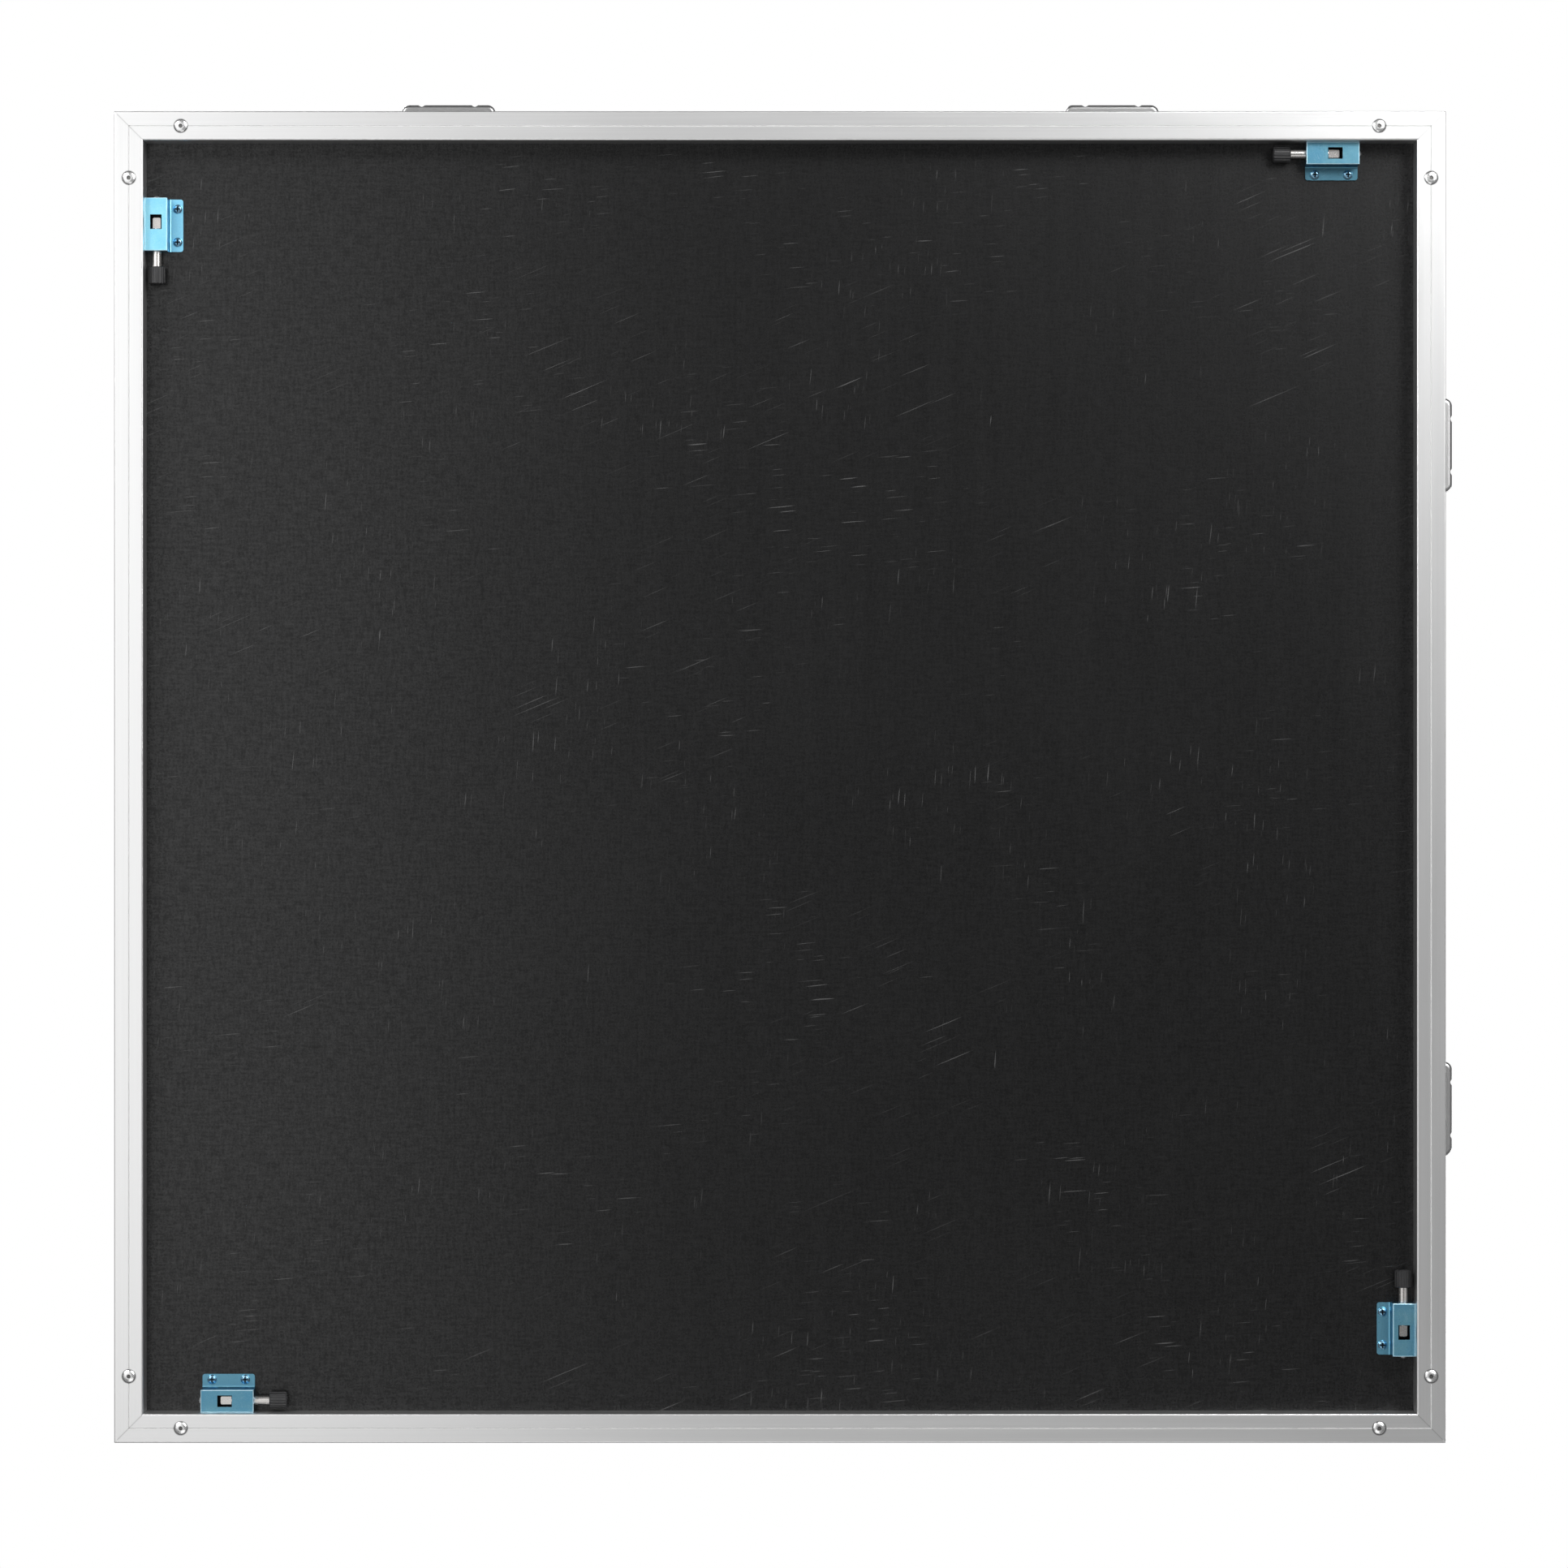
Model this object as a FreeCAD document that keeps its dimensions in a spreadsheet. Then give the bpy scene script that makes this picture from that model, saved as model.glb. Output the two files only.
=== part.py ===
"""Square stage riser deck: a framed plywood platform with four spring latches underneath.

Millimetres. The deck lies flat with its playing surface up. The origin is the centre of the frame,
on the plane that the rivet heads stand on. Front is -Y and right is +X. Whatever repeats round the
frame is drawn for the front rail and turned by quarter turns about Z.
"""
import FreeCAD, Part
import math
import os
import re
import Sketcher

SIDES = ["front", "right", "back", "left"]

SIZES = {
    # how far a cut runs past the face that it comes out of
    "overcut": 1,
    # frame
    "deck_side": 1000,
    "rail_width": 22,
    "rail_height": 41,
    "rail_wall": 2,
    "ledge_height": 25.5,
    "lip_thickness": 4,
    "slot_depth": 8,
    "slot_floor": 17,
    "slot_height": 6.5,
    "scribe_width": 0.9,
    "scribe_depth": 0.5,
    "inner_edge_radius": 1.6,
    "outer_edge_radius": 0.8,
    "mitre_gap": 0.1,
    # corner cleats
    "cleat_reach": 78,
    "cleat_play": 0.2,
    "cleat_height": 12.6,
    "cleat_floor": 3.6,
    "cleat_cavity": 11,
    # blind rivets
    "rivet_inset": 50,
    "rivet_head": 9.8,
    "rivet_head_height": 1.2,
    "rivet_rim": 0.3,
    "rivet_nose": 4.2,
    "rivet_shank": 4.8,
    "rivet_hole": 4.9,
    "rivet_bore": 2.8,
    "rivet_bulb": 7,
    "rivet_bulb_height": 2.8,
    "mandrel_stem": 2.7,
    "mandrel_head": 4.2,
    "mandrel_head_height": 1.5,
    "mandrel_recess": 0.9,
    # deck board
    "board_play": 0.5,
    "board_thickness": 15,
    "film_thickness": 0.5,
    "glue_thickness": 0.5,
    "glue_width": 10,
    "glue_inset": 8,
    # joining tongues
    "tongue_offset": 250,
    "tongue_length": 71,
    "tongue_reach": 6.5,
    "tongue_thickness": 6.2,
    "tongue_corner": 6,
    "tongue_edge": 2.9,
    "tongue_screw_spacing": 40,
    "tongue_screw_hole": 3,
    "tongue_screw_seat": 5.4,
    "tongue_screw_sink": 3.2,
    # latch housing
    "latch_offset": 416,
    "housing_length": 40,
    "housing_width": 17,
    "housing_height": 17.5,
    "housing_sheet": 1.5,
    "housing_fold": 0.7,
    "flange_length": 39.5,
    "flange_width": 10.7,
    "flange_corner": 2,
    "flange_bend": 2,
    "window_length": 11,
    "window_width": 8.7,
    "window_offset": 1.8,
    "flange_hole": 4.3,
    # plunger, running along the rail through the housing
    "rod_drop": 8.6,
    "rod_diameter": 7,
    "rod_hole": 7.15,
    "rod_gap": 2,
    "rod_tip": 0.6,
    "rod_exposed": 11.5,
    "rod_flat_margin": 0.9,
    "rod_flat_depth": 1.6,
    "spigot_diameter": 5,
    "spigot_length": 9,
    "clip_seat": 5.6,
    "clip_seat_width": 0.9,
    "clip_bore": 5.7,
    "clip_diameter": 10.4,
    "clip_thickness": 0.8,
    "clip_mouth": 4.4,
    "clip_setback": 0.3,
    "washer_diameter": 12.4,
    "washer_thickness": 1,
    "spring_radius": 5.05,
    "spring_wire": 0.7,
    "spring_turns": 5,
    "knob_diameter": 12.8,
    "knob_length": 13,
    "knob_bore": 5.1,
    "knob_chamfer": 0.7,
    "knob_dish": 8.6,
    "knob_dish_depth": 0.8,
    "knob_flute": 1.5,
    "knob_flute_depth": 0.4,
    # peened stud in the housing's far end wall
    "stud_shank": 4,
    "stud_hole": 4.1,
    "stud_peen": 5.6,
    "stud_peen_height": 2.2,
    "stud_collar": 5.6,
    "stud_collar_length": 4,
    # pan head screws
    "screw_spacing": 25,
    "screw_line": 6.5,
    "screw_head": 7.2,
    "screw_head_height": 2.3,
    "screw_head_rim": 0.4,
    "screw_head_flat": 3,
    "screw_shank": 3.9,
    "screw_length": 12,
    "screw_hole": 4,
    "screw_hole_depth": 12.5,
    "recess_span": 4.2,
    "recess_width": 0.95,
    "recess_depth": 1.4,
    # countersunk tongue screws
    "tongue_screw_head": 5.2,
    "tongue_screw_head_height": 1.8,
    "tongue_screw_shank": 2.9,
    "tongue_screw_length": 15,
}

KNOB_FLUTES = 16

# heights and lines that several pieces share, as formulas of the sheet's cells
HALF_DECK = "deck_side / 2"
RAIL_FLOOR = "rivet_head_height"
RAIL_INNER = "deck_side / 2 - rail_width"
RAIL_MIDDLE = "deck_side / 2 - rail_width / 2"
LEDGE = "rivet_head_height + ledge_height"
UNDERSIDE = "rivet_head_height + ledge_height + glue_thickness"
BOARD_HALF = "deck_side / 2 - lip_thickness - board_play"
HOUSING_FACE = UNDERSIDE + " - housing_height"
LATCH_NEAR = "latch_offset - housing_length / 2"
LATCH_FAR = "latch_offset + housing_length / 2"
WINDOW_NEAR = "latch_offset + window_offset - window_length / 2"
WINDOW_FAR = "latch_offset + window_offset + window_length / 2"
ROD_LINE = "-(" + RAIL_INNER + ") + housing_width / 2"
ROD_HEIGHT = UNDERSIDE + " - rod_drop"
ROD_END = WINDOW_FAR + " - rod_gap"
CLIP_FACE = WINDOW_NEAR + " - clip_setback"
WASHER_FACE = CLIP_FACE + " - clip_thickness"
SPRING_SEAT = WASHER_FACE + " - washer_thickness"
KNOB_FACE = LATCH_NEAR + " - rod_exposed"
SCREW_LINE = "-(" + RAIL_INNER + ") + housing_width + screw_line"

doc = FreeCAD.newDocument("stage_riser")
sheet = doc.addObject("Spreadsheet::Sheet", "sizes")
for row, (alias, number) in enumerate(SIZES.items(), start=1):
    sheet.set("A%d" % row, alias)
    sheet.set("B%d" % row, str(number))
    sheet.setAlias("B%d" % row, alias)
doc.recompute()

sub_parts = []


def formula(text):
    """The expression text with each alias pointed at the sheet."""
    return re.sub(r"[a-z][a-z_]+", r"sizes.\g<0>", text)


def size(alias):
    """A cell's number."""
    return float(sheet.get(alias))


def origin_feature(body, role):
    """One of the body's own origin planes or axes."""
    return next(item for item in body.Origin.OriginFeatures if item.Role == role)


def new_body(label, quarter=0):
    """A body for one sub-part, turned about Z by quarter turns."""
    body = doc.addObject("PartDesign::Body", label)
    body.Label = label
    body.Placement = FreeCAD.Placement(
        FreeCAD.Vector(0, 0, 0), FreeCAD.Rotation(FreeCAD.Vector(0, 0, 1), 90 * quarter)
    )
    sub_parts.append(body)
    return body


def new_sketch(body, name, plane, shift=("0", "0", "0")):
    """A sketch on an origin plane, shifted along its own x, y and normal."""
    sketch = body.newObject("Sketcher::SketchObject", name)
    sketch.AttachmentSupport = [(origin_feature(body, plane), "")]
    sketch.MapMode = "FlatFace"
    for axis, text in zip("xyz", shift):
        if text != "0":
            sketch.setExpression("AttachmentOffset.Base." + axis, formula(text))
    return sketch


def place_on(sketch, kind, geometry, point, text):
    """Ties one coordinate of a point to its formula, starting from where the point is drawn."""
    drawn = sketch.getPoint(geometry, point)
    start = drawn.x if kind == "DistanceX" else drawn.y
    index = sketch.addConstraint(Sketcher.Constraint(kind, -1, 1, geometry, point, start))
    sketch.setExpression("Constraints[%d]" % index, formula(text))


def place_point(sketch, geometry, point, x_text, y_text):
    """Ties both coordinates of a point of the sketch."""
    place_on(sketch, "DistanceX", geometry, point, x_text)
    place_on(sketch, "DistanceY", geometry, point, y_text)


def add_outline(sketch, points, domes=()):
    """A closed outline, which starts as a regular polygon that the constraints size.

    Each dome is (side, kind, formula): that side is an arc that bulges out, on a centre with that
    DistanceX or DistanceY. Points of an outline with a dome go round anticlockwise.
    """
    count = len(points)
    first = sketch.GeometryCount
    ring = [
        FreeCAD.Vector(math.cos(2 * math.pi * i / count), math.sin(2 * math.pi * i / count), 0)
        for i in range(count)
    ]
    domed_sides = [side for side, kind, text in domes]
    for i in range(count):
        start, end = ring[i], ring[(i + 1) % count]
        if i in domed_sides:
            crown = (start + end).normalize()
            sketch.addGeometry(Part.Arc(start, crown, end), False)
        else:
            sketch.addGeometry(Part.LineSegment(start, end), False)
    for i in range(count):
        following = first + (i + 1) % count
        sketch.addConstraint(Sketcher.Constraint("Coincident", first + i, 2, following, 1))
    for i, (x_text, y_text) in enumerate(points):
        place_point(sketch, first + i, 1, x_text, y_text)
    for side, kind, text in domes:
        place_on(sketch, kind, first + side, 3, text)


def add_rectangle(sketch, x_low, y_low, x_high, y_high):
    """A rectangle between two corners."""
    add_outline(sketch, [(x_low, y_low), (x_high, y_low), (x_high, y_high), (x_low, y_high)])


def add_circle(sketch, x_text, y_text, diameter):
    """A circle by its centre and diameter."""
    index = sketch.addGeometry(Part.Circle(FreeCAD.Vector(0, 0, 0), FreeCAD.Vector(0, 0, 1), 1), False)
    place_point(sketch, index, 3, x_text, y_text)
    tie = sketch.addConstraint(Sketcher.Constraint("Diameter", index, 2.0))
    sketch.setExpression("Constraints[%d]" % tie, formula(diameter))


def pad(body, name, sketch, length, backwards=False, both_ways=False):
    """Material added along the sketch's normal."""
    feature = body.newObject("PartDesign::Pad", name)
    feature.Profile = sketch
    feature.setExpression("Length", formula(length))
    feature.Reversed = backwards
    feature.Midplane = both_ways
    doc.recompute()
    return feature


def pocket(body, name, sketch, depth, backwards=False, both_ways=False):
    """Material cut away against the sketch's normal, which must change the volume."""
    before = body.Shape.Volume
    feature = body.newObject("PartDesign::Pocket", name)
    feature.Profile = sketch
    feature.setExpression("Length", formula(depth))
    feature.Reversed = backwards
    feature.Midplane = both_ways
    doc.recompute()
    if body.Shape.Volume > before - 1e-3:
        raise RuntimeError("%s: %s cuts nothing" % (body.Label, name))
    return feature


def revolve(body, name, sketch, axis):
    """A full turn about one of the sketch's own axes."""
    feature = body.newObject("PartDesign::Revolution", name)
    feature.Profile = sketch
    feature.ReferenceAxis = (sketch, [axis])
    feature.Angle = 360
    doc.recompute()
    return feature


def polar(body, name, feature, axis, count):
    """Copies of a feature spread over a full turn about an origin axis or a sketch axis."""
    pattern = body.newObject("PartDesign::PolarPattern", name)
    pattern.Originals = [feature]
    pattern.Axis = axis
    pattern.Angle = 360
    pattern.Occurrences = count
    body.Tip = pattern
    doc.recompute()
    return pattern


def edges_where(body, chosen):
    """Names of the body's edges whose middle passes the test."""
    return [
        "Edge%d" % number
        for number, edge in enumerate(body.Shape.Edges, start=1)
        if chosen(edge.CenterOfMass)
    ]


def near(value, target):
    """Whether two lengths agree."""
    return abs(value - target) < 0.01


def round_edges(body, name, chosen, radius):
    """A fillet on the edges that pass the test before the body is turned to its side."""
    turn = body.Placement
    body.Placement = FreeCAD.Placement()
    doc.recompute()
    edges = edges_where(body, chosen)
    if not edges:
        raise RuntimeError("%s: %s finds no edge" % (body.Label, name))
    base = body.Tip
    feature = body.newObject("PartDesign::Fillet", name)
    feature.Base = (base, edges)
    feature.setExpression("Radius", formula(radius))
    doc.recompute()
    body.Placement = turn


# ---------------------------------------------------------------- frame


def make_rail(quarter):
    """One mitred extrusion: box chamber, outer slot for a neighbour's tongue, ledge and lip."""
    side = SIDES[quarter]
    body = new_body(side + "_rail", quarter)
    floor = size("rivet_head_height")
    outer = -size("deck_side") / 2
    inner = outer + size("rail_width")

    profile = new_sketch(body, "profile", "YZ_Plane", ("-(" + HALF_DECK + ")", RAIL_FLOOR, "0"))
    add_outline(profile, [
        ("0", "0"),
        ("rail_width / 2 - scribe_width / 2", "0"),
        ("rail_width / 2", "scribe_depth"),
        ("rail_width / 2 + scribe_width / 2", "0"),
        ("rail_width", "0"),
        ("rail_width", "ledge_height"),
        ("lip_thickness", "ledge_height"),
        ("lip_thickness", "rail_height"),
        ("0", "rail_height"),
        ("0", "slot_floor + slot_height"),
        ("slot_depth", "slot_floor + slot_height"),
        ("slot_depth", "slot_floor"),
        ("0", "slot_floor"),
    ])
    add_outline(profile, [
        ("rail_wall", "rail_wall"),
        ("rail_width - rail_wall", "rail_wall"),
        ("rail_width - rail_wall", "ledge_height - rail_wall"),
        ("slot_depth + rail_wall", "ledge_height - rail_wall"),
        ("slot_depth + rail_wall", "slot_floor - rail_wall"),
        ("rail_wall", "slot_floor - rail_wall"),
    ])
    pad(body, "extrusion", profile, "deck_side", both_ways=True)
    round_edges(
        body, "inner_edge", lambda p: near(p.y, inner) and near(p.z, floor), "inner_edge_radius"
    )
    round_edges(
        body,
        "outer_edges",
        lambda p: near(p.y, outer) and (near(p.z, floor) or near(p.z, floor + size("rail_height"))),
        "outer_edge_radius",
    )

    mitres = new_sketch(body, "mitre_lines", "XY_Plane")
    for sign in ("", "-"):
        add_outline(mitres, [
            (sign + "(deck_side / 2 - mitre_gap)", "-(deck_side / 2)"),
            (sign + "(deck_side / 2 + rail_width)", "-(deck_side / 2)"),
            (sign + "(deck_side / 2 + rail_width)", "-(deck_side / 2 - rail_width)"),
            (sign + "(deck_side / 2 - rail_width - mitre_gap)", "-(deck_side / 2 - rail_width)"),
        ])
    pocket(body, "mitres", mitres, "2 * (" + RAIL_FLOOR + " + rail_height + overcut)", both_ways=True)

    holes = new_sketch(body, "rivet_centres", "XY_Plane", ("0", "0", RAIL_FLOOR))
    for sign in ("", "-"):
        add_circle(holes, sign + "(deck_side / 2 - rivet_inset)", "-(" + RAIL_MIDDLE + ")", "rivet_hole")
    pocket(body, "rivet_holes", holes, "rail_wall + overcut", backwards=True)

    if side in ("front", "right"):
        threads = new_sketch(
            body, "tongue_screw_centres", "XZ_Plane", ("0", RAIL_FLOOR, "deck_side / 2 - slot_depth")
        )
        for middle in ("tongue_offset", "-tongue_offset"):
            for sign in (" + ", " - "):
                add_circle(
                    threads,
                    middle + sign + "tongue_screw_spacing / 2",
                    "slot_floor + tongue_thickness / 2",
                    "tongue_screw_hole",
                )
        pocket(body, "tongue_screw_holes", threads, "rail_wall + overcut")


def make_cleat(quarter):
    """Die-cast L inside the chambers where the front and right rails meet, turned by the quarter."""
    label = "%s_%s_cleat" % (SIDES[quarter], SIDES[(quarter + 1) % 4])
    body = new_body(label, quarter)
    outside = "deck_side / 2 - rail_wall - cleat_play"
    inside = "deck_side / 2 - rail_width + rail_wall + cleat_play"
    tip = "deck_side / 2 - cleat_reach"
    seat = RAIL_FLOOR + " + rail_wall"
    angle = new_sketch(body, "angle", "XY_Plane", ("0", "0", seat))
    add_outline(angle, [
        (tip, "-(" + outside + ")"),
        (outside, "-(" + outside + ")"),
        (outside, "-(" + tip + ")"),
        (inside, "-(" + tip + ")"),
        (inside, "-(" + inside + ")"),
        (tip, "-(" + inside + ")"),
    ])
    pad(body, "casting", angle, "cleat_height")
    for name, diameter, level, depth in (
        ("cavity", "cleat_cavity", seat + " + cleat_height", "cleat_height - cleat_floor"),
        ("rivet_hole", "rivet_hole", seat + " + cleat_floor", "cleat_floor + overcut"),
    ):
        centres = new_sketch(body, name + "_centres", "XY_Plane", ("0", "0", level))
        add_circle(centres, "deck_side / 2 - rivet_inset", "-(" + RAIL_MIDDLE + ")", diameter)
        add_circle(centres, RAIL_MIDDLE, "-(deck_side / 2 - rivet_inset)", diameter)
        pocket(body, name, centres, depth)


def make_tongue(quarter, sign):
    """Rounded bar set in the outer slot of a rail, for the slot of the next deck."""
    end = SIDES[(quarter + sign) % 4]
    body = new_body("%s_tongue_%s" % (SIDES[quarter], end), quarter)
    back = -size("deck_side") / 2 + size("slot_depth")
    nose = -size("deck_side") / 2 - size("tongue_reach")
    centre = size("tongue_offset") * sign
    middle = "tongue_offset" if sign > 0 else "-tongue_offset"
    bar = new_sketch(body, "bar", "XY_Plane", ("0", "0", RAIL_FLOOR + " + slot_floor"))
    add_rectangle(
        bar,
        middle + " - tongue_length / 2",
        "-(deck_side / 2) - tongue_reach",
        middle + " + tongue_length / 2",
        "-(deck_side / 2) + slot_depth",
    )
    pad(body, "stock", bar, "tongue_thickness")
    round_edges(
        body,
        "corners",
        lambda p: near(p.y, nose) and near(abs(p.x - centre), size("tongue_length") / 2),
        "tongue_corner",
    )
    floor = size("rivet_head_height") + size("slot_floor")
    top = floor + size("tongue_thickness")
    round_edges(
        body,
        "bullnose",
        lambda p: p.y < back - 0.01 and (near(p.z, floor) or near(p.z, top)),
        "tongue_edge",
    )
    for name, diameter, start, depth in (
        ("screw_seats", "tongue_screw_seat", "deck_side / 2 + tongue_reach", "tongue_screw_sink"),
        (
            "screw_holes", "tongue_screw_hole", "deck_side / 2 + tongue_reach",
            "tongue_reach + slot_depth + overcut",
        ),
    ):
        level = RAIL_FLOOR + " + slot_floor + tongue_thickness / 2"
        centres = new_sketch(body, name + "_centres", "XZ_Plane", ("0", level, start))
        for way in (" + ", " - "):
            add_circle(centres, middle + way + "tongue_screw_spacing / 2", "0", diameter)
        pocket(body, name, centres, depth)


# ---------------------------------------------------------------- deck board


def make_sheet_layer(label, level, thickness, holes_up_to=None):
    """A square layer of the deck board, with the latch screws' holes where they reach it."""
    body = new_body(label)
    square = new_sketch(body, "square", "XY_Plane", ("0", "0", level))
    half = "(" + BOARD_HALF + ")"
    add_rectangle(square, "-" + half, "-" + half, half, half)
    pad(body, "layer", square, thickness)
    if holes_up_to:
        centres = new_sketch(body, "screw_centres", "XY_Plane", ("0", "0", UNDERSIDE))
        for sign in (" - ", " + "):
            add_circle(centres, "latch_offset" + sign + "screw_spacing / 2", SCREW_LINE, "screw_hole")
        holes = pocket(body, "screw_holes", centres, holes_up_to, backwards=True)
        polar(body, "four_latches", holes, (origin_feature(body, "Z_Axis"), [""]), 4)


def make_glue_line():
    """The elastic adhesive bead between the ledge and the board."""
    body = new_body("panel_adhesive")
    ring = new_sketch(body, "ring", "XY_Plane", ("0", "0", LEDGE))
    for half in ("(deck_side / 2 - glue_inset)", "(deck_side / 2 - glue_inset - glue_width)"):
        add_rectangle(ring, "-" + half, "-" + half, half, half)
    pad(body, "bead", ring, "glue_thickness")


# ---------------------------------------------------------------- latches


def latch_body(piece, quarter):
    """A body for one piece of the latch on a rail."""
    return new_body("%s_latch_%s" % (SIDES[quarter], piece), quarter)


def half_section(body, start="0"):
    """A sketch whose x axis is the latch rod's centreline, for pieces turned about it."""
    return new_sketch(body, "half_section", "XY_Plane", (start, ROD_LINE, ROD_HEIGHT))


def make_housing(quarter):
    """Folded steel case with a screw flange, a window in its face and a hole at each end."""
    body = latch_body("housing", quarter)
    wall = "-(" + RAIL_INNER + ")"
    base = new_sketch(body, "case_plan", "XY_Plane", ("0", "0", HOUSING_FACE))
    add_rectangle(base, LATCH_NEAR, wall, LATCH_FAR, wall + " + housing_width")
    pad(body, "case", base, "housing_height")

    inside = new_sketch(body, "inside_plan", "XY_Plane", ("0", "0", UNDERSIDE))
    add_rectangle(
        inside,
        LATCH_NEAR + " + housing_sheet",
        wall + " + housing_sheet",
        LATCH_FAR + " - housing_sheet",
        wall + " + housing_width - housing_sheet",
    )
    pocket(body, "inside", inside, "housing_height - housing_sheet")

    flange = new_sketch(body, "flange_plan", "XY_Plane", ("0", "0", UNDERSIDE))
    add_rectangle(
        flange,
        "latch_offset - flange_length / 2",
        wall + " + housing_width - housing_sheet",
        "latch_offset + flange_length / 2",
        wall + " + housing_width + flange_width",
    )
    pad(body, "flange", flange, "housing_sheet", backwards=True)

    underside = size("rivet_head_height") + size("ledge_height") + size("glue_thickness")
    face = underside - size("housing_height")
    rail = -size("deck_side") / 2 + size("rail_width")
    bend = rail + size("housing_width")
    rim = bend + size("flange_width")
    near_end = size("latch_offset") - size("housing_length") / 2
    far_end = size("latch_offset") + size("housing_length") / 2
    round_edges(
        body,
        "flange_corners",
        lambda p: near(p.y, rim) and near(abs(p.x - size("latch_offset")), size("flange_length") / 2),
        "flange_corner",
    )
    round_edges(
        body,
        "flange_bend",
        lambda p: near(p.y, bend) and near(p.z, underside - size("housing_sheet")),
        "flange_bend",
    )
    round_edges(
        body,
        "folds",
        lambda p: near(p.z, face) and (
            near(p.y, rail) or near(p.y, bend) or near(p.x, near_end) or near(p.x, far_end)
        ),
        "housing_fold",
    )

    window = new_sketch(body, "window_plan", "XY_Plane", ("0", "0", HOUSING_FACE + " + housing_sheet"))
    add_rectangle(
        window,
        WINDOW_NEAR,
        ROD_LINE + " - window_width / 2",
        WINDOW_FAR,
        ROD_LINE + " + window_width / 2",
    )
    pocket(body, "window", window, "housing_sheet + overcut")

    for name, diameter, start in (
        ("rod_hole", "rod_hole", LATCH_NEAR + " + housing_sheet"),
        ("stud_hole", "stud_hole", LATCH_FAR),
    ):
        centre = new_sketch(body, name + "_centre", "YZ_Plane", (ROD_LINE, ROD_HEIGHT, start))
        add_circle(centre, "0", "0", diameter)
        pocket(body, name, centre, "housing_sheet")

    holes = new_sketch(body, "flange_hole_centres", "XY_Plane", ("0", "0", UNDERSIDE))
    for sign in (" - ", " + "):
        add_circle(holes, "latch_offset" + sign + "screw_spacing / 2", SCREW_LINE, "flange_hole")
    pocket(body, "flange_holes", holes, "housing_sheet + overcut")


def make_rod(quarter):
    """The plunger: a flat milled on its tip in the window, clip seat, and a spigot for the knob."""
    body = latch_body("rod", quarter)
    half = half_section(body)
    seat_end = CLIP_FACE + " + (clip_seat_width - clip_thickness) / 2"
    seat_start = seat_end + " - clip_seat_width"
    add_outline(half, [
        (KNOB_FACE + " - spigot_length", "0"),
        (KNOB_FACE + " - spigot_length", "spigot_diameter / 2"),
        (KNOB_FACE, "spigot_diameter / 2"),
        (KNOB_FACE, "rod_diameter / 2"),
        (seat_start, "rod_diameter / 2"),
        (seat_start, "clip_seat / 2"),
        (seat_end, "clip_seat / 2"),
        (seat_end, "rod_diameter / 2"),
        (ROD_END + " - rod_tip", "rod_diameter / 2"),
        (ROD_END, "rod_diameter / 2 - rod_tip"),
        (ROD_END, "0"),
    ])
    revolve(body, "turning", half, "H_Axis")

    flat = new_sketch(body, "flat_plan", "XY_Plane", ("0", "0", ROD_HEIGHT + " - rod_diameter / 2"))
    add_rectangle(
        flat,
        WINDOW_NEAR + " + rod_flat_margin",
        ROD_LINE + " - rod_diameter / 2",
        ROD_END + " + overcut",
        ROD_LINE + " + rod_diameter / 2",
    )
    pocket(body, "tip_flat", flat, "rod_flat_depth", backwards=True)


def make_washer(quarter):
    """The thrust washer between the clip and the spring."""
    body = latch_body("washer", quarter)
    rings = new_sketch(body, "rings", "YZ_Plane", (ROD_LINE, ROD_HEIGHT, SPRING_SEAT))
    add_circle(rings, "0", "0", "washer_diameter")
    add_circle(rings, "0", "0", "rod_hole")
    pad(body, "disc", rings, "washer_thickness")


def make_clip(quarter):
    """The open retaining clip that snaps into the rod's seat."""
    body = latch_body("clip", quarter)
    rings = new_sketch(body, "rings", "YZ_Plane", (ROD_LINE, ROD_HEIGHT, WASHER_FACE))
    add_circle(rings, "0", "0", "clip_diameter")
    add_circle(rings, "0", "0", "clip_bore")
    pad(body, "ring", rings, "clip_thickness")
    mouth = new_sketch(body, "mouth_outline", "YZ_Plane", (ROD_LINE, ROD_HEIGHT, CLIP_FACE))
    add_rectangle(mouth, "-clip_mouth / 2", "0", "clip_mouth / 2", "clip_diameter")
    pocket(body, "mouth", mouth, "clip_thickness")


def make_spring(quarter):
    """The compression spring between the housing's near wall and the washer."""
    body = latch_body("spring", quarter)
    start = LATCH_NEAR + " + housing_sheet + spring_wire / 2"
    wire = new_sketch(body, "wire_section", "XY_Plane", (start, ROD_LINE, ROD_HEIGHT))
    add_circle(wire, "0", "spring_radius", "spring_wire")
    coil = body.newObject("PartDesign::AdditiveHelix", "coil")
    coil.Profile = wire
    coil.ReferenceAxis = (wire, ["H_Axis"])
    coil.Mode = "pitch-turns-angle"
    room = "(" + SPRING_SEAT + " - (" + LATCH_NEAR + " + housing_sheet) - spring_wire)"
    coil.setExpression("Pitch", formula(room + " / spring_turns"))
    coil.setExpression("Turns", formula("spring_turns"))
    doc.recompute()


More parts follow.
